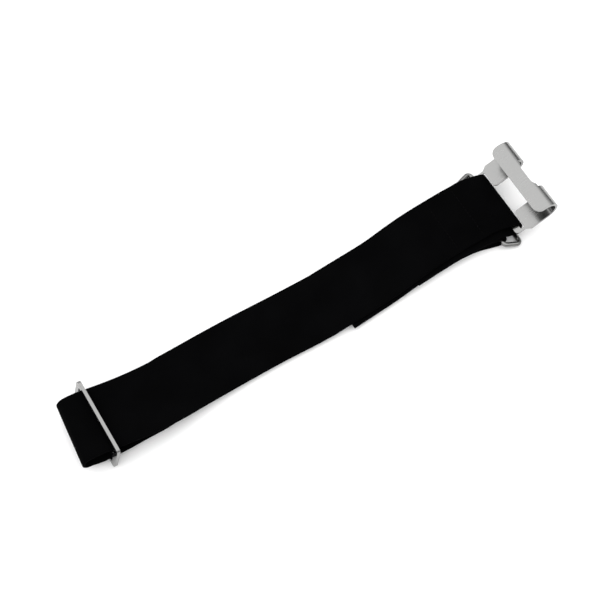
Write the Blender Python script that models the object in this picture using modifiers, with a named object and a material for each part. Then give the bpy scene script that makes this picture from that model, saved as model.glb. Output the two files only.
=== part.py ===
"""Dive weight belt: one long webbing belt with a steel hook, a wire ring and a keeper slide.

Frame: metres, +Z up, the belt lies folded in half on the plane z = 0, +X towards the hook.
The origin is under the middle of the folded belt. The named sizes below are in millimetres.
"""
import math

import bmesh
import bpy
from mathutils import Matrix, Vector

MM = 0.001                      # one millimetre, in metres
GAP = 0.3                       # clearance between touching pieces

# Webbing
BELT_WIDTH = 49.0
BELT_THICK = 2.2

# The upper half opens about this line, on top of the webbing in front of the slide
FOLD_AXIS = (-130.0, 0.0, 16.0)
UPPER_LENGTHS = ("belt_hook_tail", "belt_hook_loop", "belt_top_run")

# The fold is not quite square: its near edge reaches further from the hook than its far edge
FOLD_SKEW = 2.2                 # how far each edge is from square, at the fold
FOLD_SKEW_START = -150.0
FOLD_SKEW_END = -190.0

# Keeper slide: a plate with two slots that stands on edge and leans towards the hook
SLIDE_LENGTH = 60.6
SLIDE_HEIGHT = 24.6
SLIDE_THICK = 2.5
SLIDE_CORNER = 3.0
SLIDE_SLOT_LENGTH = 52.6
SLIDE_SLOT_HEIGHT = 5.6
SLIDE_SLOT_CORNER = 1.2
SLIDE_SLOT_OFFSET = 5.9
SLIDE_CENTRE = (-170.3, -0.7, 12.27)
SLIDE_LEAN = math.radians(14.6)

# Hook: a plate bent into a J, with a slot for the belt and a window up to the lip
HOOK_WIDTH = 60.6
HOOK_THICK = 2.0
HOOK_SMOOTH_ANGLE = 30.0        # sharper edges than this stay sharp, in degrees
HOOK_BEND_RADIUS = 9.8          # outside radius of the J
HOOK_REACH = 30.4               # from the hook's own origin to the outside of the bend
LIP_EDGE = 14.2                 # free edge of the lip
LIP_CORNER = 6.0
WINDOW_WIDTH = 24.8
WINDOW_EASE = 3.0
NOTCH_EDGE = 25.3               # straight part of the notch in the lip
NOTCH_FLAT = 10.4
BAR_BACK = -5.0                 # crossbar that the belt wraps
BAR_FRONT = -0.2
SLOT_FRONT = 2.9
SLOT_WIDTH = 52.4
BAR_HALF_WIDTH = 27.8
SHOULDER_END = 6.5
BAR_CORNER = 2.5
HOOK_ORIGIN = (164.2, -1.4, 11.0)   # where the level side view's (0, 0) comes
HOOK_PITCH = math.radians(20.0)

# Ring: round wire bent into a rounded rectangle and welded
WIRE_RADIUS = 1.8
RING_BACK = 60.0                # between the wire centres, across the belt, at the wrapped bar
RING_FRONT = 69.0               # the same at the free bar, wide enough to take the hook
RING_DEPTH = 12.5               # between the wire centres, along the belt
RING_CORNER = 2.6
RING_BAR = (149.0, 0.8, 4.6)    # centre of the bar that the belt wraps
RING_DROOP = math.asin((RING_BAR[2] - WIRE_RADIUS - 0.02) / RING_DEPTH)

# Rows of stitching that close the two loops, each on top of a length of the belt
SEAM_WIDTH = 0.9
SEAM_HEIGHT = 0.35
SEAM_INSET = 3.5                # from the edge of the webbing
SEAMS = (
    ("hook_seam_front", "belt_top_run", 138.0),
    ("hook_seam_back", "belt_top_run", 116.0),
    ("ring_seam_front", "belt_lower_run", 118.0),
    ("ring_seam_back", "belt_lower_run", 98.0),
)

WEBBING_BLACK = (0.012, 0.012, 0.014, 1.0)
THREAD_BLACK = (0.02, 0.02, 0.022, 1.0)
STEEL = (0.60, 0.60, 0.59, 1.0)


def hook_to_world(x, z):
    """Turn a point of the hook's own side view into the belt's frame."""
    cos, sin = math.cos(HOOK_PITCH), math.sin(HOOK_PITCH)
    return (HOOK_ORIGIN[0] + x * cos - z * sin, HOOK_ORIGIN[2] + x * sin + z * cos)


BAR_MIDDLE = ((BAR_BACK + BAR_FRONT) / 2, HOOK_THICK / 2)   # in the hook's own side view
BAR_AXIS = hook_to_world(*BAR_MIDDLE)
BAR_LOOP = math.hypot(BAR_FRONT - BAR_BACK, HOOK_THICK) / 2 + GAP + BELT_THICK / 2
RING_LOOP = WIRE_RADIUS + GAP + BELT_THICK / 2

FLOOR_LAYER = BELT_THICK / 2            # middle of a layer that lies on the floor
LAYER = BELT_THICK + GAP                # from one layer's middle to the next one's


def arc(centre, radius, start, end, y_start, y_end, steps):
    """Points round a loop, seen from the side, from one height angle to another."""
    points = []
    for i in range(steps + 1):
        share = i / steps
        angle = math.radians(start + (end - start) * share)
        points.append((
            centre[0] + radius[0] * math.cos(angle),
            y_start + (y_end - y_start) * share,
            centre[1] + radius[1] * math.sin(angle),
        ))
    return points


def belt_route():
    """The belt's middle line, (x, y, z), from the hook end's tail to the ring end's tail.

    Each entry is one length of the belt: its node name and the points it passes through.
    """
    floor, second, third = FLOOR_LAYER, FLOOR_LAYER + LAYER, FLOOR_LAYER + 2 * LAYER
    fourth = third + LAYER
    over_seams = SEAM_HEIGHT + GAP + 0.05
    hook_low_y, hook_high_y = -3.0, 0.2
    ring_bar = (RING_BAR[0], RING_BAR[2])
    return [
        ("belt_hook_tail", [
            (20.5, -4.3, second), (36.0, -3.2, second), (54.0, -1.9, second),
            (64.0, -1.1, second + 0.5), (77.0, -0.2, third + 0.1), (94.0, 0.9, third + over_seams),
            (112.0, 1.3, third + over_seams), (127.0, 1.0, third + over_seams + 0.1),
            (137.0, 0.4, third + 1.4), (143.0, -0.4, 9.1), (148.3, -1.2, 10.3),
            (153.0, -2.2, 9.6),
        ]),
        ("belt_hook_loop", arc(BAR_AXIS, (BAR_LOOP, BAR_LOOP), -90, 90, hook_low_y, hook_high_y, 14)),
        ("belt_top_run", [
            (154.0, 2.4, 14.5), (147.0, 4.0, 13.4), (139.0, 4.7, 11.3), (130.0, 5.2, 10.0),
            (118.0, 5.0, fourth + over_seams + 0.1), (96.0, 3.8, fourth + over_seams),
            (77.0, 1.9, fourth + 0.1),
            (64.0, 0.9, third + 0.5), (54.0, 0.3, third), (36.0, -0.6, third), (18.0, -1.5, third),
            (6.0, -1.6, second + 1.1), (-10.0, -1.1, second + 0.2), (-35.0, -0.2, second + 0.2),
            (-60.0, -0.2, second + 0.7), (-82.0, -0.9, 5.9), (-100.0, -2.1, 8.6), (-115.0, -3.5, 11.5),
        ]),
        ("belt_slide_loop", [
            (-130.0, -4.2, 14.6), (-142.0, -4.0, 16.6), (-152.0, -3.0, 17.3), (-163.0, -1.4, 17.45),
            (-174.0, 0.3, 17.5), (-181.0, 0.9, 17.5),
        ] + arc((-184.6, 12.05), (5.0, 5.45), 90, 270, 1.0, 0.8, 10) + [
            (-178.0, -0.6, 6.6), (-170.0, -1.3, 6.6), (-158.0, -1.8, 6.6), (-144.0, -1.7, 6.3),
            (-130.0, -1.3, 4.6),
        ]),
        ("belt_lower_run", [
            (-112.0, 0.8, 2.2), (-96.0, 1.4, floor + 0.1), (-78.0, 1.7, floor), (-52.0, 1.6, floor),
            (-22.0, 0.8, floor), (8.0, 0.3, floor), (36.0, 0.4, floor), (54.0, 0.6, floor + 0.06),
            (64.0, 0.9, floor + 0.5), (77.0, 1.2, second + 0.1), (94.0, 1.4, second), (110.0, 2.0, second),
            (126.0, 2.3, second + 0.1),
        ]),
        ("belt_ring_loop", [
            (134.0, 1.6, 4.1), (141.0, -0.2, 6.2),
        ] + arc(ring_bar, (RING_LOOP, RING_LOOP), 105, -90, -1.5, -2.7, 14)),
        ("belt_ring_tail", [
            (141.0, -0.8, floor), (132.0, 1.6, floor), (118.0, 3.0, floor), (100.0, 2.4, floor),
            (79.0, 1.0, floor),
        ]),
    ]


def spline_point(a, b, c, d, share):
    """A point between b and c on a smooth curve through a, b, c and d."""
    span_1 = max((b - a).length, 1e-6) ** 0.5
    span_2 = max((c - b).length, 1e-6) ** 0.5
    span_3 = max((d - c).length, 1e-6) ** 0.5
    slope_b = ((b - a) / span_1 - (c - a) / (span_1 + span_2) + (c - b) / span_2) * span_2
    slope_c = ((c - b) / span_2 - (d - b) / (span_2 + span_3) + (d - c) / span_3) * span_2
    s2, s3 = share * share, share ** 3
    return (b * (2 * s3 - 3 * s2 + 1) + slope_b * (s3 - 2 * s2 + share)
            + c * (3 * s2 - 2 * s3) + slope_c * (s3 - s2))


def belt_lines():
    """The smooth middle line of each length of the belt, by node name."""
    route = belt_route()
    points = [Vector(p) for _, length in route for p in length]
    owners = [name for name, length in route for _ in length]
    lines = {name: [] for name, _ in route}
    for i in range(len(points) - 1):
        before = points[max(i - 1, 0)]
        after = points[min(i + 2, len(points) - 1)]
        steps = max(1, round((points[i + 1] - points[i]).length / 5.0))
        line = lines[owners[i]]
        for step in range(steps):
            line.append(spline_point(before, points[i], points[i + 1], after, step / steps))
        if owners[i + 1] != owners[i] or i + 2 == len(points):
            line.append(points[i + 1])
    return {name: trimmed(line, GAP) for name, line in lines.items()}


def trimmed(line, cut):
    """The same line, shorter by cut at each end."""
    line = list(line)
    line[0] = line[0] + (line[1] - line[0]).normalized() * cut
    line[-1] = line[-1] + (line[-2] - line[-1]).normalized() * cut
    return line


# ---------------------------------------------------------------- Blender helpers

def clear_scene():
    for obj in list(bpy.data.objects):
        bpy.data.objects.remove(obj, do_unlink=True)


def new_collection(name):
    collection = bpy.data.collections.new(name)
    bpy.context.scene.collection.children.link(collection)
    return collection


def new_frame(name, place, collection):
    """An empty on a joint's axis, which carries the pieces that turn about it."""
    frame = bpy.data.objects.new(name, None)
    collection.objects.link(frame)
    frame.location = Vector(place) * MM
    return frame


def carry(frame, obj):
    """Parent an object to an upright frame and leave it where it is."""
    obj.parent = frame
    obj.location = obj.location - frame.location


def make_material(name, colour, roughness, metallic):
    material = bpy.data.materials.new(name)
    material.use_nodes = True
    shader = material.node_tree.nodes["Principled BSDF"]
    shader.inputs["Base Color"].default_value = colour
    shader.inputs["Roughness"].default_value = roughness
    shader.inputs["Metallic"].default_value = metallic
    return material


def add_object(name, data, collection, material):
    obj = bpy.data.objects.new(name, data)
    collection.objects.link(obj)
    if material is not None:
        data.materials.append(material)
    return obj


def arc_points(cx, cy, radius, start, end, steps=6):
    """Points on an arc in a flat outline, angles in degrees."""
    angles = [math.radians(start + (end - start) * i / steps) for i in range(steps + 1)]
    return [(cx + radius * math.cos(a), cy + radius * math.sin(a)) for a in angles]


def rounded_rectangle(width, height, radius, cx=0.0, cy=0.0):
    """A rectangle's outline with round corners, anticlockwise."""
    right, top = width / 2 - radius, height / 2 - radius
    return (arc_points(cx + right, cy + top, radius, 0, 90)
            + arc_points(cx - right, cy + top, radius, 90, 180)
            + arc_points(cx - right, cy - top, radius, 180, 270)
            + arc_points(cx + right, cy - top, radius, 270, 360))


def rounded_corners(corners, radius, steps=6):
    """A closed outline through the corners, anticlockwise, each rounded by an arc."""
    points = []
    for i, corner in enumerate(corners):
        here = Vector(corner)
        back = (Vector(corners[i - 1]) - here).normalized()
        ahead = (Vector(corners[(i + 1) % len(corners)]) - here).normalized()
        half_angle = back.angle(ahead) / 2
        centre = here + (back + ahead).normalized() * (radius / math.sin(half_angle))
        start = here + back * (radius / math.tan(half_angle)) - centre
        sweep = math.pi - 2 * half_angle
        for step in range(steps + 1):
            turn = Matrix.Rotation(sweep * step / steps, 2)
            points.append(tuple(centre + turn @ start))
    return points


def flat_curve(name, outlines, thickness, collection, material=None):
    """A plate from closed outlines in its own x-y plane; inner outlines are holes."""
    curve = bpy.data.curves.new(name, "CURVE")
    curve.dimensions = "2D"
    curve.fill_mode = "BOTH"
    curve.extrude = thickness * MM / 2
    for outline in outlines:
        spline = curve.splines.new("POLY")
        spline.points.add(len(outline) - 1)
        for point, (x, y) in zip(spline.points, outline):
            point.co = (x * MM, y * MM, 0.0, 1.0)
        spline.use_cyclic_u = True
    return add_object(name, curve, collection, material)


def as_mesh(obj):
    """Replace a curve object by the closed mesh that it makes."""
    bpy.context.view_layer.update()
    evaluated = obj.evaluated_get(bpy.context.evaluated_depsgraph_get())
    mesh = bpy.data.meshes.new_from_object(evaluated)
    body = bmesh.new()
    body.from_mesh(mesh)
    bmesh.ops.remove_doubles(body, verts=body.verts, dist=1e-6)
    bmesh.ops.recalc_face_normals(body, faces=body.faces)
    body.to_mesh(mesh)
    body.free()
    result = bpy.data.objects.new("solid", mesh)
    for collection in obj.users_collection:
        collection.objects.link(result)
    result.matrix_world = obj.matrix_world
    name = obj.name
    bpy.data.objects.remove(obj, do_unlink=True)
    result.name = name
    return result


def cut(obj, cutter):
    """Take a cutter away from an object with a Boolean that stays on it."""
    cutter.hide_render = True
    cutter.display_type = "WIRE"
    boolean = obj.modifiers.new("cut_" + cutter.name, "BOOLEAN")
    boolean.operation = "DIFFERENCE"
    boolean.solver = "EXACT"
    boolean.object = cutter


def smooth_by_angle(obj, degrees):
    obj.data.shade_smooth()
    obj.data.set_sharp_from_angle(angle=math.radians(degrees))


# ---------------------------------------------------------------- webbing

def fold_skew(x):
    """How far the webbing's edges are shifted along the belt, one each way, near the fold."""
    share = min(max((x - FOLD_SKEW_START) / (FOLD_SKEW_END - FOLD_SKEW_START), 0.0), 1.0)
    return FOLD_SKEW * share * share * (3 - 2 * share)


def make_ribbon(name, line, collection, material):
    """One length of webbing: a strip along the line, thickened to both sides."""
    body = bmesh.new()
    half = BELT_WIDTH / 2
    near = [body.verts.new(Vector((p.x - fold_skew(p.x), p.y - half, p.z)) * MM) for p in line]
    far = [body.verts.new(Vector((p.x + fold_skew(p.x), p.y + half, p.z)) * MM) for p in line]
    for i in range(len(line) - 1):
        body.faces.new((near[i], near[i + 1], far[i + 1], far[i]))
    bmesh.ops.recalc_face_normals(body, faces=body.faces)
    mesh = bpy.data.meshes.new(name)
    body.to_mesh(mesh)
    body.free()
    ribbon = add_object(name, mesh, collection, material)
    thick = ribbon.modifiers.new("thickness", "SOLIDIFY")
    thick.thickness = BELT_THICK * MM
    thick.offset = 0.0
    return ribbon


def line_at(line, x):
    """Height, middle and slope of a length of webbing at a place along the belt."""
    for a, b in zip(line, line[1:]):
        if min(a.x, b.x) <= x <= max(a.x, b.x):
            share = (x - a.x) / (b.x - a.x)
            slope = math.atan((b.z - a.z) / (b.x - a.x))
            return a.z + (b.z - a.z) * share, a.y + (b.y - a.y) * share, slope
    raise ValueError("the line does not pass x = %.1f" % x)


def make_seam(name, line, x, collection, material):
    """One row of thread across the top of a length of webbing."""
    z, middle, slope = line_at(line, x)
    body = bmesh.new()
    bmesh.ops.create_cube(body, size=1.0)
    length = BELT_WIDTH - 2 * SEAM_INSET
    bmesh.ops.scale(body, verts=body.verts, vec=(SEAM_WIDTH * MM, length * MM, SEAM_HEIGHT * MM))
    mesh = bpy.data.meshes.new(name)
    body.to_mesh(mesh)
    body.free()
    seam = add_object(name, mesh, collection, material)
    lift = BELT_THICK / 2 + GAP + SEAM_HEIGHT / 2
    seam.location = Vector((x - lift * math.sin(slope), middle, z + lift * math.cos(slope))) * MM
    seam.rotation_euler = (0.0, -slope, 0.0)
    return seam


# ---------------------------------------------------------------- metal pieces

def make_slide(collection, material):
    """The keeper stands across the belt: its length along Y, its height along Z, leaning."""
    outlines = [
        rounded_rectangle(SLIDE_LENGTH, SLIDE_HEIGHT, SLIDE_CORNER),
        rounded_rectangle(SLIDE_SLOT_LENGTH, SLIDE_SLOT_HEIGHT, SLIDE_SLOT_CORNER, cy=SLIDE_SLOT_OFFSET),
        rounded_rectangle(SLIDE_SLOT_LENGTH, SLIDE_SLOT_HEIGHT, SLIDE_SLOT_CORNER, cy=-SLIDE_SLOT_OFFSET),
    ]
    slide = flat_curve("slide_plate", outlines, SLIDE_THICK, collection, material)
    upright = Matrix.Rotation(math.radians(90), 3, "Z") @ Matrix.Rotation(math.radians(90), 3, "X")
    slide.rotation_euler = (Matrix.Rotation(SLIDE_LEAN, 3, "Y") @ upright).to_euler()
    slide.location = Vector(SLIDE_CENTRE) * MM
    return as_mesh(slide)


def hook_side_outline():
    """The J seen from the side: the base, the bend and the lip, one plate thickness."""
    centre_x, centre_z = HOOK_REACH - HOOK_BEND_RADIUS, HOOK_BEND_RADIUS
    inner = HOOK_BEND_RADIUS - HOOK_THICK
    outline = [(BAR_BACK, HOOK_THICK), (BAR_BACK, 0.0)]
    outline += arc_points(centre_x, centre_z, HOOK_BEND_RADIUS, -90, 90, 18)
    outline += [(LIP_EDGE, 2 * HOOK_BEND_RADIUS), (LIP_EDGE, 2 * HOOK_BEND_RADIUS - HOOK_THICK)]
    outline += arc_points(centre_x, centre_z, inner, 90, -90, 18)
    return outline


def corner_cut(x, y, radius, x_side, y_side):
    """What a round corner takes away: a square corner less a quarter disc."""
    cx, cy = x - x_side * radius, y - y_side * radius
    far = radius + 3.0
    arc_line = [(cx + x_side * radius * math.sin(a), cy + y_side * radius * math.cos(a))
                for a in (math.radians(90 * i / 8) for i in range(9))]
    return arc_line + [(cx + x_side * far, cy), (cx + x_side * far, cy + y_side * far),
                       (cx, cy + y_side * far)]


def window_outline():
    """The window between the arms, opening into the belt slot with eased corners."""
    half, reach, ease = WINDOW_WIDTH / 2, HOOK_REACH + 5.0, WINDOW_EASE
    start = SLOT_FRONT - 0.5
    far_ease = arc_points(SLOT_FRONT + ease, half + ease, ease, 180, 270)
    near_ease = arc_points(SLOT_FRONT + ease, -half - ease, ease, 90, 180)
    return ([(start, -half - ease), (start, half + ease)] + far_ease
            + [(reach, half), (reach, -half)] + near_ease)


def notch_outline():
    """The notch in the lip: a short straight edge with large eased corners."""
    flat, half, reach = NOTCH_FLAT / 2, WINDOW_WIDTH / 2, HOOK_REACH + 5.0
    ease = half - flat
    far_side = [(NOTCH_EDGE + ease * (1 - math.cos(a)), flat + ease * math.sin(a))
                for a in (math.radians(90 * i / 8) for i in range(9))]
    near_side = [(x, -y) for x, y in reversed(far_side)]
    return far_side + [(reach, half), (reach, -half)] + near_side


def make_hook(collection, cutters, material):
    """A plate bent into a J, then pierced; it is drawn level and tipped up about its crossbar."""
    frame = new_frame("hook_frame", (BAR_AXIS[0], HOOK_ORIGIN[1], BAR_AXIS[1]), collection)
    frame.rotation_euler = (0.0, -HOOK_PITCH, 0.0)
    to_bar = Vector((-BAR_MIDDLE[0], 0.0, -BAR_MIDDLE[1])) * MM
    side = flat_curve("hook_plate", [hook_side_outline()], HOOK_WIDTH, collection, material)
    side.rotation_euler = (math.radians(90), 0.0, 0.0)
    side.location = to_bar
    hook = as_mesh(side)
    hook.parent = frame

    half = HOOK_WIDTH / 2
    below_lip, above = HOOK_BEND_RADIUS, 2 * HOOK_BEND_RADIUS + 4.0
    slot = rounded_rectangle(SLOT_FRONT - BAR_FRONT, SLOT_WIDTH, 1.0, cx=(SLOT_FRONT + BAR_FRONT) / 2)
    cuts = [
        ("slot", [slot], -4.0, below_lip),
        ("window", [window_outline()], -4.0, 2 * HOOK_BEND_RADIUS - HOOK_THICK - 0.6),
        ("notch", [notch_outline()], below_lip, above),
    ]
    for side_name, side_sign in (("near", -1), ("far", 1)):
        shoulder = [(BAR_BACK - 1.0, side_sign * BAR_HALF_WIDTH), (SLOT_FRONT, side_sign * BAR_HALF_WIDTH),
                    (SHOULDER_END, side_sign * half), (SHOULDER_END, side_sign * (half + 2.0)),
                    (BAR_BACK - 1.0, side_sign * (half + 2.0))]
        cuts += [
            (side_name + "_shoulder", [shoulder], -4.0, below_lip),
            (side_name + "_bar_corner",
             [corner_cut(BAR_BACK, side_sign * BAR_HALF_WIDTH, BAR_CORNER, -1, side_sign)], -4.0, below_lip),
            (side_name + "_lip_corner",
             [corner_cut(LIP_EDGE, side_sign * half, LIP_CORNER, -1, side_sign)], below_lip, above),
        ]
    for name, outlines, low, high in cuts:
        cutter = flat_curve("hook_" + name, outlines, high - low, cutters)
        cutter.location = to_bar + Vector((0.0, 0.0, (low + high) * MM / 2))
        cutter = as_mesh(cutter)
        cutter.parent = frame
        cut(hook, cutter)
    return hook, frame


def make_ring(collection, material):
    """Round wire bent into a closed ring, wider at its free bar, which rests on the floor."""
    curve = bpy.data.curves.new("wire_ring", "CURVE")
    curve.dimensions = "3D"
    curve.bevel_depth = WIRE_RADIUS * MM
    curve.bevel_resolution = 2
    corners = [(0.0, RING_BACK / 2), (0.0, -RING_BACK / 2),
               (RING_DEPTH, -RING_FRONT / 2), (RING_DEPTH, RING_FRONT / 2)]
    outline = rounded_corners(corners, RING_CORNER)
    spline = curve.splines.new("POLY")
    spline.points.add(len(outline) - 1)
    for point, (x, y) in zip(spline.points, outline):
        point.co = (x * MM, y * MM, 0.0, 1.0)
    spline.use_cyclic_u = True
    ring = add_object("wire_ring", curve, collection, material)
    ring.rotation_euler = (0.0, RING_DROOP, 0.0)
    ring.location = Vector(RING_BAR) * MM
    return ring


def main():
    clear_scene()
    belt = new_collection("dive_weight_belt")
    cutters = new_collection("cutters")
    webbing = make_material("webbing", WEBBING_BLACK, 0.85, 0.0)
    thread = make_material("thread", THREAD_BLACK, 0.7, 0.0)
    steel = make_material("stainless_steel", STEEL, 0.32, 1.0)

    lines = belt_lines()
    upper_half = new_frame("upper_half_frame", FOLD_AXIS, belt)
    for name, line in lines.items():
        ribbon = make_ribbon(name, line, belt, webbing)
        if name in UPPER_LENGTHS:
            carry(upper_half, ribbon)
    for name, length, x in SEAMS:
        seam = make_seam(name, lines[length], x, belt, thread)
        if length in UPPER_LENGTHS:
            carry(upper_half, seam)

    make_slide(belt, steel)
    hook, hook_frame = make_hook(belt, cutters, steel)
    carry(upper_half, hook_frame)
    make_ring(belt, steel)
    bpy.context.view_layer.update()
    smooth_by_angle(hook, HOOK_SMOOTH_ANGLE)


main()
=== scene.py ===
import math

import bmesh
import bpy
from mathutils import Matrix, Vector


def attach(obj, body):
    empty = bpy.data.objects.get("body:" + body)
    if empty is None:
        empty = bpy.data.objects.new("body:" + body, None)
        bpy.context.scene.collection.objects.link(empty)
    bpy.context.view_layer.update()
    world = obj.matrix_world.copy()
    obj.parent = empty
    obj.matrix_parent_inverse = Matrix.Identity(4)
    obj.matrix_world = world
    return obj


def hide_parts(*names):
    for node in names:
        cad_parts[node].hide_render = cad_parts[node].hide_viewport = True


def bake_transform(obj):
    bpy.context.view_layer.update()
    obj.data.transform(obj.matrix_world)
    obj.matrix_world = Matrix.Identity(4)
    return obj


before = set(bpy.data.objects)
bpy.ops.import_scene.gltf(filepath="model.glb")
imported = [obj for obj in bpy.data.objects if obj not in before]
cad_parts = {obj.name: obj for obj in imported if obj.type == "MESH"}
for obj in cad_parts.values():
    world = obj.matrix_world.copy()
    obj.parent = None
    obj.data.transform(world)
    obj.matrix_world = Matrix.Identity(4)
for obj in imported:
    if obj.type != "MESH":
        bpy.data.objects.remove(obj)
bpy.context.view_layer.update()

MM = 0.001

# ------------------------------------------------------------------ the belt's sizes, in millimetres
GAP = 0.3
BELT_WIDTH = 49.0
BELT_THICK = 2.2
CORD_PITCH = 1.4                # the lengthwise cords of the weave
CORD_DEPTH = 0.07
RIB_PITCH = 1.25                # the crosswise picks of the weave
STATION = 1.6                   # length of one facet along the belt
FOLD_SKEW = 2.2                 # the fold is not quite square
FOLD_SKEW_START = -150.0
FOLD_SKEW_END = -190.0

SEAM_HEIGHT = 0.35              # how far a row of stitches stands proud
SEAM_INSET = 3.5                # how far a row stops short of each edge
STITCH_PITCH = 3.0
STITCH_LENGTH = 2.3
STITCH_RADIUS = 0.36
STITCH_SINK = 0.45              # how far a stitch's ends dip into the webbing
OVER_SEAMS = SEAM_HEIGHT + GAP + 0.05

HOOK_ORIGIN = (164.2, 11.0)
HOOK_PITCH = math.radians(20.0)
HOOK_BAR = (-2.6, 1.0)          # the crossbar's middle, in the tilted hook's own plane
BAR_HALF = 2.4
HOOK_THICK = 2.0
EDGE_ROUNDING = 0.35            # on every edge of the two plates

WIRE_RADIUS = 1.8
RING_BACK = 60.0                # across the belt, between wire centres, at the wrapped bar
RING_FRONT = 69.0               # the same at the free bar
RING_DEPTH = 12.5
RING_CORNER = 2.6
RING_BAR = (149.0, 0.8, 4.6)    # the middle of the wrapped bar
RING_DROOP = math.asin((RING_BAR[2] - WIRE_RADIUS - 0.02) / RING_DEPTH)
WELD_PLACE = (0.0, 9.0, 0.0)    # on the bar inside the webbing loop
WELD_REACH = 1.1
WELD_SWELL = 0.07

BAR_AXIS = (
    HOOK_ORIGIN[0] + HOOK_BAR[0] * math.cos(HOOK_PITCH) - HOOK_BAR[1] * math.sin(HOOK_PITCH),
    HOOK_ORIGIN[1] + HOOK_BAR[0] * math.sin(HOOK_PITCH) + HOOK_BAR[1] * math.cos(HOOK_PITCH),
)
BAR_LOOP = math.hypot(2 * BAR_HALF, HOOK_THICK) / 2 + GAP + BELT_THICK / 2
RING_LOOP = WIRE_RADIUS + GAP + BELT_THICK / 2

FLOOR_LAYER = BELT_THICK / 2     # height of the lowest layer's middle
LAYER = BELT_THICK + GAP
SPLICE = (-169.0, -0.5, 17.48)  # the two routes meet here, inside the slide's upper slot


# ------------------------------------------------------------------ the belt's route
def arc(centre, radius, start, end, y_start, y_end, steps):
    """Points round an ellipse in X and Z, from one angle to another, drifting sideways in Y."""
    points = []
    for i in range(steps + 1):
        share = i / steps
        angle = math.radians(start + (end - start) * share)
        points.append((centre[0] + radius[0] * math.cos(angle),
                       y_start + (y_end - y_start) * share,
                       centre[1] + radius[1] * math.sin(angle)))
    return points


def upper_route():
    """From the hook loop's loose tail, round the hook's bar, and back along the top."""
    second, third = FLOOR_LAYER + LAYER, FLOOR_LAYER + 2 * LAYER
    fourth = third + LAYER
    return [
        (20.5, -4.3, second), (36.0, -3.2, second), (54.0, -1.9, second),
        (64.0, -1.1, second + 0.5), (77.0, -0.2, third + 0.1), (94.0, 0.9, third + OVER_SEAMS),
        (112.0, 1.3, third + OVER_SEAMS), (127.0, 1.0, third + OVER_SEAMS + 0.1),
        (137.0, 0.4, third + 1.4), (143.0, -0.4, 9.1), (148.3, -1.2, 10.3),
        (153.0, -2.2, 9.6),
    ] + arc(BAR_AXIS, (BAR_LOOP, BAR_LOOP), -90, 90, -3.0, 0.2, 14) + [
        (154.0, 2.4, 14.5), (147.0, 4.0, 13.4), (139.0, 4.7, 11.3), (130.0, 5.2, 10.0),
        (118.0, 5.0, fourth + OVER_SEAMS + 0.1), (96.0, 3.8, fourth + OVER_SEAMS),
        (77.0, 1.9, fourth + 0.1),
        (64.0, 0.9, third + 0.5), (54.0, 0.3, third), (36.0, -0.6, third), (18.0, -1.5, third),
        (6.0, -1.6, second + 1.1), (-10.0, -1.1, second + 0.2), (-35.0, -0.2, second + 0.2),
        (-60.0, -0.2, second + 0.7), (-82.0, -0.9, 5.9), (-100.0, -2.1, 8.6), (-115.0, -3.5, 11.5),
        (-130.0, -4.2, 14.6), (-142.0, -4.0, 16.6), (-152.0, -3.0, 17.3), (-163.0, -1.4, 17.45),
        SPLICE,
    ]


def lower_route():
    """From the slide, round the fold, back along the floor and round the ring's bar."""
    floor, second = FLOOR_LAYER, FLOOR_LAYER + LAYER
    ring_bar = (RING_BAR[0], RING_BAR[2])
    return [
        SPLICE, (-174.0, 0.3, 17.5), (-181.0, 0.9, 17.5),
    ] + arc((-184.6, 12.05), (5.0, 5.45), 90, 270, 1.0, 0.8, 10) + [
        (-178.0, -0.6, 6.6), (-170.0, -1.3, 6.6), (-158.0, -1.8, 6.6), (-144.0, -1.7, 6.3),
        (-130.0, -1.3, 4.6),
        (-112.0, 0.8, 2.2), (-96.0, 1.4, floor + 0.1), (-78.0, 1.7, floor), (-52.0, 1.6, floor),
        (-22.0, 0.8, floor), (8.0, 0.3, floor), (36.0, 0.4, floor), (54.0, 0.6, floor + 0.06),
        (64.0, 0.9, floor + 0.5), (77.0, 1.2, second + 0.1), (94.0, 1.4, second), (110.0, 2.0, second),
        (126.0, 2.3, second + 0.1), (134.0, 1.6, 4.1), (141.0, -0.2, 6.2),
    ] + arc(ring_bar, (RING_LOOP, RING_LOOP), 105, -90, -1.5, -2.7, 14) + [
        (141.0, -0.8, floor), (132.0, 1.6, floor), (118.0, 3.0, floor), (100.0, 2.4, floor),
        (79.0, 1.0, floor),
    ]


def spline_point(a, b, c, d, share):
    """A point on the centripetal curve from b to c, a share of the way along."""
    span_1 = max((b - a).length, 1e-6) ** 0.5
    span_2 = max((c - b).length, 1e-6) ** 0.5
    span_3 = max((d - c).length, 1e-6) ** 0.5
    slope_b = ((b - a) / span_1 - (c - a) / (span_1 + span_2) + (c - b) / span_2) * span_2
    slope_c = ((c - b) / span_2 - (d - b) / (span_2 + span_3) + (d - c) / span_3) * span_2
    s2, s3 = share * share, share ** 3
    return (b * (2 * s3 - 3 * s2 + 1) + slope_b * (s3 - 2 * s2 + share)
            + c * (3 * s2 - 2 * s3) + slope_c * (s3 - s2))


def smooth_line(route, before=None, after=None):
    """Points along the route, about STATION apart, as one smooth curve."""
    points = [Vector(p) for p in route]
    first = Vector(before) if before else points[0]
    last = Vector(after) if after else points[-1]
    padded = [first] + points + [last]
    line = []
    for i in range(1, len(padded) - 2):
        a, b, c, d = padded[i - 1:i + 3]
        steps = max(1, math.ceil((c - b).length / STATION))
        line += [spline_point(a, b, c, d, step / steps) for step in range(steps)]
    return line + [points[-1]]


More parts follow.
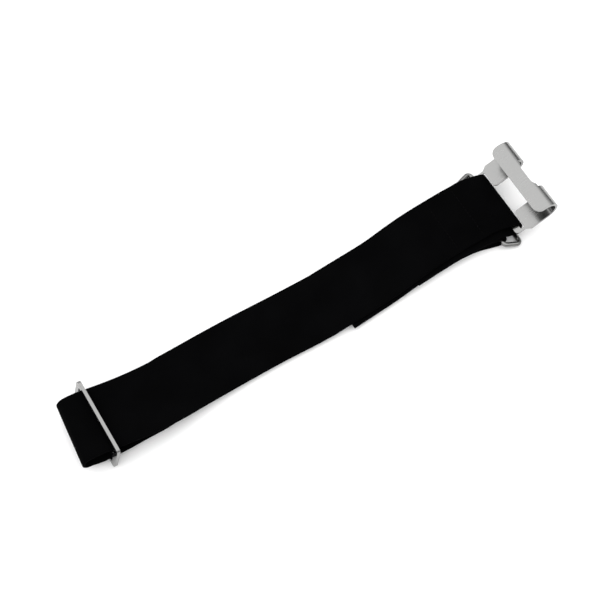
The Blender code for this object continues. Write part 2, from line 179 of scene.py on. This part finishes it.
# ------------------------------------------------------------------ webbing in mesh code
def webbing_section():
    """The strap cut across: (offset across, offset through) round the outline.

    Top and bottom are rows of lengthwise cords; the selvedges are round.
    """
    half, thick = BELT_WIDTH / 2, BELT_THICK / 2
    round_in = 0.85             # how far the selvedge's rounding reaches in
    flattened = 0.03            # keeps the selvedge just inside the webbing's faces
    turns = 6
    cords = round((BELT_WIDTH - 2 * round_in) / CORD_PITCH)
    per_cord = 4
    columns = cords * per_cord
    top = []
    for i in range(columns + 1):
        y = -(half - round_in) + (BELT_WIDTH - 2 * round_in) * i / columns
        dip = CORD_DEPTH * (0.5 + 0.5 * math.cos(2 * math.pi * i / per_cord))
        top.append((y, thick - dip))
    side = []
    for i in range(1, turns):
        angle = math.pi / 2 - math.pi * i / turns
        side.append((half - round_in + round_in * math.cos(angle), (thick - flattened) * math.sin(angle)))
    bottom = [(y, -z) for y, z in reversed(top)]
    other = [(-y, -z) for y, z in side]
    return top + side + bottom + other


def fold_skew(x):
    """How far the edges are shifted along the belt, one each way, near the fold."""
    share = min(max((x - FOLD_SKEW_START) / (FOLD_SKEW_END - FOLD_SKEW_START), 0.0), 1.0)
    return FOLD_SKEW * share * share * (3 - 2 * share)


def object_from(name, body, material):
    """A new object in the scene from a finished bmesh."""
    mesh = bpy.data.meshes.new(name)
    body.to_mesh(mesh)
    body.free()
    mesh.materials.append(material)
    obj = bpy.data.objects.new(name, mesh)
    bpy.context.scene.collection.objects.link(obj)
    return obj


def make_webbing(name, line, material, start_length=0.0):
    """Sweep the webbing's section along a line; u and v of the map are metres along and across."""
    section = webbing_section()
    count = len(section)
    body = bmesh.new()
    layer = body.loops.layers.uv.new("weave")
    rings, lengths = [], []
    travelled = start_length
    for i, p in enumerate(line):
        ahead, behind = line[min(i + 1, len(line) - 1)], line[max(i - 1, 0)]
        along = (ahead - behind).normalized()
        through = Vector((along.z, 0.0, -along.x)).normalized()
        if i:
            travelled += (p - line[i - 1]).length
        lengths.append(travelled)
        skew = fold_skew(p.x) / (BELT_WIDTH / 2)
        rings.append([body.verts.new((p + Vector((skew * y, y, 0.0)) + through * z) * MM)
                      for y, z in section])
    arc_v = [0.0]
    for (y0, z0), (y1, z1) in zip(section, section[1:] + section[:1]):
        arc_v.append(arc_v[-1] + math.hypot(y1 - y0, z1 - z0))
    for i in range(len(rings) - 1):
        for k in range(count):
            m = (k + 1) % count
            face = body.faces.new((rings[i][k], rings[i + 1][k], rings[i + 1][m], rings[i][m]))
            face.smooth = True
            uv = ((lengths[i], arc_v[k]), (lengths[i + 1], arc_v[k]),
                  (lengths[i + 1], arc_v[k + 1]), (lengths[i], arc_v[k + 1]))
            for loop, (u, v) in zip(face.loops, uv):
                loop[layer].uv = (u * MM, v * MM)
    for ring, at, flip in ((rings[0], lengths[0], False), (rings[-1], lengths[-1], True)):
        face = body.faces.new(list(reversed(ring)) if flip else ring)
        for loop in face.loops:
            loop[layer].uv = (at * MM, loop.vert.co.y)
    bmesh.ops.recalc_face_normals(body, faces=body.faces)
    return object_from(name, body, material)


# ------------------------------------------------------------------ materials
def new_material(name):
    material = bpy.data.materials.new(name)
    material.use_nodes = True
    tree = material.node_tree
    return material, tree, tree.nodes["Principled BSDF"]


def math_node(tree, operation, a, b=None):
    made = tree.nodes.new("ShaderNodeMath")
    made.operation = operation
    for i, value in enumerate((a, b)):
        if value is None:
            continue
        if isinstance(value, (int, float)):
            made.inputs[i].default_value = value
        else:
            tree.links.new(value, made.inputs[i])
    return made.outputs[0]


def grey(level, blue=None):
    """A neutral colour, with its blue set apart where one is given."""
    return (level, level, level if blue is None else blue, 1.0)


def ramp(tree, factor, low, high, colour_low, colour_high):
    made = tree.nodes.new("ShaderNodeValToRGB")
    made.color_ramp.elements[0].position = low
    made.color_ramp.elements[0].color = colour_low
    made.color_ramp.elements[1].position = high
    made.color_ramp.elements[1].color = colour_high
    tree.links.new(factor, made.inputs[0])
    return made.outputs[0]


def webbing_material():
    """Black woven webbing: picks over cords, slightly uneven in tone, with painted shade in the weave's
    hollows and a painted highlight on its raised picks.
    """
    material, tree, shader = new_material("webbing")
    uv = tree.nodes.new("ShaderNodeUVMap")
    uv.uv_map = "weave"
    parts = tree.nodes.new("ShaderNodeSeparateXYZ")
    tree.links.new(uv.outputs[0], parts.inputs[0])
    along, across = parts.outputs[0], parts.outputs[1]

    # plain weave: each crosswise pick goes over one cord and under the next
    picks = math_node(tree, "SINE", math_node(tree, "MULTIPLY", along, 2 * math.pi / (RIB_PITCH * MM)))
    cords = math_node(tree, "SINE", math_node(tree, "MULTIPLY", across, math.pi / (CORD_PITCH * MM)))
    woven = math_node(tree, "MULTIPLY", picks, cords)
    fibre = tree.nodes.new("ShaderNodeTexNoise")
    fibre.inputs["Scale"].default_value = 1.0
    fibre.inputs["Detail"].default_value = 3.0
    stretch = tree.nodes.new("ShaderNodeMapping")
    stretch.inputs["Scale"].default_value = (900.0, 5200.0, 1.0)
    tree.links.new(uv.outputs[0], stretch.inputs[0])
    tree.links.new(stretch.outputs[0], fibre.inputs["Vector"])
    height = math_node(tree, "ADD", math_node(tree, "MULTIPLY", woven, 0.5),
                       math_node(tree, "MULTIPLY", fibre.outputs["Fac"], 0.5))
    bump = tree.nodes.new("ShaderNodeBump")
    bump.inputs["Strength"].default_value = 0.55
    bump.inputs["Distance"].default_value = 0.00012
    tree.links.new(height, bump.inputs["Height"])
    tree.links.new(bump.outputs[0], shader.inputs["Normal"])

    cloud = tree.nodes.new("ShaderNodeTexNoise")
    cloud.inputs["Scale"].default_value = 38.0
    cloud.inputs["Detail"].default_value = 4.0
    place = tree.nodes.new("ShaderNodeTexCoord")
    tree.links.new(place.outputs["Object"], cloud.inputs["Vector"])
    # painted shade and highlight: the weave term darkens the hollows and lightens the raised picks; the
    # cloud term is random tone
    tone = math_node(tree, "ADD", math_node(tree, "MULTIPLY", woven, 0.22), cloud.outputs["Fac"])
    colour = ramp(tree, tone, 0.15, 0.85, grey(0.0005, 0.0006), grey(0.0016, 0.0018))
    tree.links.new(colour, shader.inputs["Base Color"])
    shader.inputs["Roughness"].default_value = 0.82
    shader.inputs["Specular IOR Level"].default_value = 0.015
    return material


def thread_material():
    """Black twisted thread, with painted shade in the grooves of the twist and a painted highlight on its
    ridges.
    """
    material, tree, shader = new_material("thread")
    place = tree.nodes.new("ShaderNodeTexCoord")
    twist = tree.nodes.new("ShaderNodeTexWave")
    twist.bands_direction = "DIAGONAL"
    twist.inputs["Scale"].default_value = 900.0
    tree.links.new(place.outputs["Object"], twist.inputs["Vector"])
    bump = tree.nodes.new("ShaderNodeBump")
    bump.inputs["Strength"].default_value = 0.5
    bump.inputs["Distance"].default_value = 0.0001
    tree.links.new(twist.outputs["Fac"], bump.inputs["Height"])
    tree.links.new(bump.outputs[0], shader.inputs["Normal"])
    # painted shade and highlight: the twist bands darken the thread's grooves and lighten its ridges
    colour = ramp(tree, twist.outputs["Fac"], 0.2, 0.8, grey(0.0009, 0.001), grey(0.0024, 0.0026))
    tree.links.new(colour, shader.inputs["Base Color"])
    shader.inputs["Roughness"].default_value = 0.75
    shader.inputs["Specular IOR Level"].default_value = 0.03
    return material


def steel_material(name, tint, rough, grain_scale, grain_strength):
    """Satin stainless steel: a fine stretched grain over a cloudy polish."""
    material, tree, shader = new_material(name)
    place = tree.nodes.new("ShaderNodeTexCoord")
    cloud = tree.nodes.new("ShaderNodeTexNoise")
    cloud.inputs["Scale"].default_value = 90.0
    cloud.inputs["Detail"].default_value = 5.0
    grain = tree.nodes.new("ShaderNodeTexNoise")
    grain.inputs["Detail"].default_value = 2.0
    grain.inputs["Scale"].default_value = 1.0
    stretch = tree.nodes.new("ShaderNodeMapping")
    stretch.inputs["Scale"].default_value = grain_scale
    tree.links.new(place.outputs["Object"], cloud.inputs["Vector"])
    tree.links.new(place.outputs["Object"], stretch.inputs[0])
    tree.links.new(stretch.outputs[0], grain.inputs["Vector"])
    both = math_node(tree, "ADD", math_node(tree, "MULTIPLY", cloud.outputs["Fac"], 0.6),
                     math_node(tree, "MULTIPLY", grain.outputs["Fac"], 0.4))
    darker = tuple(c * 0.93 for c in tint) + (1.0,)
    colour = ramp(tree, both, 0.3, 0.7, darker, tuple(tint) + (1.0,))
    tree.links.new(colour, shader.inputs["Base Color"])
    roughness = tree.nodes.new("ShaderNodeMapRange")
    roughness.inputs["From Min"].default_value = 0.3
    roughness.inputs["From Max"].default_value = 0.7
    roughness.inputs["To Min"].default_value = rough - 0.05
    roughness.inputs["To Max"].default_value = rough + 0.06
    tree.links.new(both, roughness.inputs["Value"])
    tree.links.new(roughness.outputs[0], shader.inputs["Roughness"])
    bump = tree.nodes.new("ShaderNodeBump")
    bump.inputs["Strength"].default_value = grain_strength
    bump.inputs["Distance"].default_value = 0.00002
    tree.links.new(grain.outputs["Fac"], bump.inputs["Height"])
    tree.links.new(bump.outputs[0], shader.inputs["Normal"])
    shader.inputs["Metallic"].default_value = 1.0
    return material


def floor_material():
    """Matt white paper, very slightly uneven."""
    material, tree, shader = new_material("floor")
    place = tree.nodes.new("ShaderNodeTexCoord")
    noise = tree.nodes.new("ShaderNodeTexNoise")
    noise.inputs["Scale"].default_value = 6.0
    tree.links.new(place.outputs["Object"], noise.inputs["Vector"])
    colour = ramp(tree, noise.outputs["Fac"], 0.3, 0.7, grey(0.96), grey(0.98))
    tree.links.new(colour, shader.inputs["Base Color"])
    shader.inputs["Roughness"].default_value = 0.9
    shader.inputs["Specular IOR Level"].default_value = 0.1
    return material


# ------------------------------------------------------------------ the webbing and its stitching
webbing = webbing_material()
thread = thread_material()
plate_steel = steel_material("plate_steel", (0.275, 0.275, 0.272), 0.24, (260.0, 2400.0, 260.0), 0.35)
slide_steel = steel_material("slide_steel", (0.26, 0.26, 0.257), 0.20, (1500.0, 300.0, 1500.0), 0.2)
wire_steel = steel_material("wire_steel", (0.21, 0.21, 0.207), 0.18, (900.0, 900.0, 900.0), 0.2)

upper_line = smooth_line(upper_route(), after=lower_route()[1])
lower_line = smooth_line(lower_route(), before=upper_route()[-2])
upper_length = sum((b - a).length for a, b in zip(upper_line, upper_line[1:]))

upper_webbing = make_webbing("upper_webbing", upper_line, webbing)
lower_webbing = make_webbing("lower_webbing", lower_line, webbing, start_length=upper_length)


def highest_pass(line, x):
    """Height, middle and slope of the line's highest pass at x."""
    found = []
    for a, b in zip(line, line[1:]):
        if min(a.x, b.x) <= x <= max(a.x, b.x) and abs(b.x - a.x) > 1e-6:
            share = (x - a.x) / (b.x - a.x)
            slope = math.atan((b.z - a.z) / (b.x - a.x))
            found.append((a.z + (b.z - a.z) * share, a.y + (b.y - a.y) * share, slope))
    return max(found)


def make_stitches(name, line, x, material):
    """A row of separate stitches across the webbing: small rounded bars sunk at both ends."""
    z, middle, slope = highest_pass(line, x)
    count = int((BELT_WIDTH - 2 * SEAM_INSET) / STITCH_PITCH)
    sections, around = 9, 10
    body = bmesh.new()
    for i in range(count):
        y = (i - (count - 1) / 2) * STITCH_PITCH
        rings = []
        for k in range(sections):
            t = -1 + 2 * k / (sections - 1)
            radius = STITCH_RADIUS * max(0.25, math.sqrt(max(0.0, 1 - (abs(t) ** 5))))
            sink = -STITCH_SINK * abs(t) ** 4
            rings.append([body.verts.new((radius * math.cos(a), y + t * STITCH_LENGTH / 2,
                                          sink + radius * math.sin(a)))
                          for a in (2 * math.pi * n / around for n in range(around))])
        for a, b in zip(rings, rings[1:]):
            for n in range(around):
                m = (n + 1) % around
                face = body.faces.new((a[n], a[m], b[m], b[n]))
                face.smooth = True
        body.faces.new(list(reversed(rings[0])))
        body.faces.new(rings[-1])
    bmesh.ops.recalc_face_normals(body, faces=body.faces)
    lift = BELT_THICK / 2 + 0.05
    place = (Matrix.Translation((x - lift * math.sin(slope), middle, z + lift * math.cos(slope)))
             @ Matrix.Rotation(-slope, 4, "Y"))
    bmesh.ops.transform(body, matrix=Matrix.Scale(MM, 4) @ place, verts=body.verts)
    return object_from(name, body, material)


for name, line, x, rides, stands_for in (
        ("hook_stitches_front", upper_line, 138.0, "upper_half", "hook_seam_front"),
        ("hook_stitches_back", upper_line, 116.0, "upper_half", "hook_seam_back"),
        ("ring_stitches_front", lower_line, 118.0, "lower_half", "ring_seam_front"),
        ("ring_stitches_back", lower_line, 98.0, "lower_half", "ring_seam_back")):
    stitches = make_stitches(name, line, x, thread)
    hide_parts(stands_for)
    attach(stitches, rides)


# ------------------------------------------------------------------ the wire ring
def rounded_corners(corners, radius, steps):
    """A closed outline through the corners, anticlockwise, each rounded by an arc."""
    points = []
    for i, corner in enumerate(corners):
        here = Vector(corner)
        behind = (Vector(corners[i - 1]) - here).normalized()
        ahead = (Vector(corners[(i + 1) % len(corners)]) - here).normalized()
        half_angle = behind.angle(ahead) / 2
        centre = here + (behind + ahead).normalized() * (radius / math.sin(half_angle))
        start = here + behind * (radius / math.tan(half_angle)) - centre
        sweep = math.pi - 2 * half_angle
        points += [tuple(centre + Matrix.Rotation(sweep * step / steps, 2) @ start)
                   for step in range(steps + 1)]
    return points


def make_ring(material):
    """Round wire bent to a ring, wider at its free bar, and closed by a slight weld bead."""
    corners = rounded_corners([(0.0, RING_BACK / 2), (0.0, -RING_BACK / 2),
                               (RING_DEPTH, -RING_FRONT / 2), (RING_DEPTH, RING_FRONT / 2)],
                              RING_CORNER, 10)
    facet, around = 1.2, 20
    path = []
    for a, b in zip(corners, corners[1:] + corners[:1]):
        span = math.dist(a, b)
        steps = max(1, math.ceil(span / facet))
        path += [(a[0] + (b[0] - a[0]) * i / steps, a[1] + (b[1] - a[1]) * i / steps)
                 for i in range(steps)]
    weld = Vector(WELD_PLACE)
    body = bmesh.new()
    rings = []
    for i, (x, y) in enumerate(path):
        before, after = path[i - 1], path[(i + 1) % len(path)]
        along = Vector((after[0] - before[0], after[1] - before[1], 0.0)).normalized()
        out = Vector((along.y, -along.x, 0.0))
        here = Vector((x, y, 0.0))
        swell = 1.0 + WELD_SWELL * math.exp(-((here - weld).length / WELD_REACH) ** 2)
        rings.append([body.verts.new(here + (out * math.cos(a) + Vector((0, 0, 1)) * math.sin(a))
                                     * WIRE_RADIUS * swell)
                      for a in (2 * math.pi * n / around for n in range(around))])
    for i in range(len(rings)):
        a, b = rings[i], rings[(i + 1) % len(rings)]
        for n in range(around):
            m = (n + 1) % around
            face = body.faces.new((a[n], b[n], b[m], a[m]))
            face.smooth = True
    bmesh.ops.recalc_face_normals(body, faces=body.faces)
    place = Matrix.Translation(Vector(RING_BAR)) @ Matrix.Rotation(RING_DROOP, 4, "Y")
    bmesh.ops.transform(body, matrix=Matrix.Scale(MM, 4) @ place, verts=body.verts)
    return object_from("steel_ring", body, material)


ring = make_ring(wire_steel)
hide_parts("wire_ring")
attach(ring, "ring")


# ------------------------------------------------------------------ the plates that stay as CAD
def finish_plate(obj, material):
    """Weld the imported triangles, round every edge a little and shade it smoothly."""
    obj.data.materials.clear()
    obj.data.materials.append(material)
    weld = obj.modifiers.new("weld", "WELD")
    weld.merge_threshold = 0.00001
    bevel = obj.modifiers.new("bevel", "BEVEL")
    bevel.width = EDGE_ROUNDING * MM
    bevel.segments = 3
    bevel.limit_method = "ANGLE"
    bevel.angle_limit = math.radians(35)
    bevel.harden_normals = False
    normals = obj.modifiers.new("normals", "WEIGHTED_NORMAL")
    normals.keep_sharp = False


finish_plate(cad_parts["hook_plate"], plate_steel)
finish_plate(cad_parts["slide_plate"], slide_steel)

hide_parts("belt_top_run", "belt_hook_loop", "belt_hook_tail")
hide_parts("belt_slide_loop", "belt_lower_run", "belt_ring_loop", "belt_ring_tail")
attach(lower_webbing, "lower_half")
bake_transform(upper_webbing)

# ------------------------------------------------------------------ studio
floor_body = bmesh.new()
bmesh.ops.create_grid(floor_body, x_segments=8, y_segments=8, size=4.0)
floor = object_from("studio_floor", floor_body, floor_material())
floor.location = (0.0, 0.0, -0.0004)


def light_dome():
    """A world with a bright ceiling above dimmer walls."""
    world = bpy.data.worlds.new("studio")
    bpy.context.scene.world = world
    world.use_nodes = True
    sky = world.node_tree
    background = sky.nodes["Background"]
    background.inputs["Strength"].default_value = 1.42
    direction = sky.nodes.new("ShaderNodeTexCoord")
    height = sky.nodes.new("ShaderNodeSeparateXYZ")
    dome = sky.nodes.new("ShaderNodeMapRange")
    dome.interpolation_type = "SMOOTHSTEP"
    dome.inputs["From Min"].default_value = 0.1
    dome.inputs["From Max"].default_value = 0.75
    dome.inputs["To Min"].default_value = 0.08
    dome.inputs["To Max"].default_value = 1.18
    sky.links.new(direction.outputs["Generated"], height.inputs[0])
    sky.links.new(height.outputs[2], dome.inputs["Value"])
    sky.links.new(dome.outputs[0], background.inputs["Color"])


def area_light(name, place, target, size, power):
    data = bpy.data.lights.new(name, "AREA")
    data.shape = "RECTANGLE"
    data.size, data.size_y = size
    data.energy = power
    obj = bpy.data.objects.new(name, data)
    obj.location = place
    obj.rotation_euler = (Vector(target) - Vector(place)).to_track_quat("-Z", "Y").to_euler()
    bpy.context.scene.collection.objects.link(obj)


light_dome()
area_light("overhead", (0.1, 0.3, 1.3), (0.0, 0.0, 0.0), (2.6, 2.2), 5.0)
area_light("side", (-1.2, -0.4, 0.7), (0.0, 0.0, 0.0), (1.4, 1.4), 2.5)

CAMERA_PLACE = (-0.2028, -0.3425, 0.88595)
CAMERA_RIGHT = (0.85673, -0.51572, -0.00689)
CAMERA_UP = (0.47169, 0.77807, 0.41487)
CAMERA_BACK = (-0.20860, -0.35869, 0.90985)

camera_data = bpy.data.cameras.new("camera")
camera = bpy.data.objects.new("camera", camera_data)
bpy.context.scene.collection.objects.link(camera)
camera_data.sensor_width = 36.0
camera_data.lens = 79.7
camera_data.clip_start = 0.05
camera_data.clip_end = 30.0
turn = Matrix((CAMERA_RIGHT, CAMERA_UP, CAMERA_BACK)).transposed()
camera.matrix_world = Matrix.Translation(CAMERA_PLACE) @ turn.to_4x4()
bpy.context.scene.camera = camera
bpy.context.scene.view_settings.view_transform = "Standard"
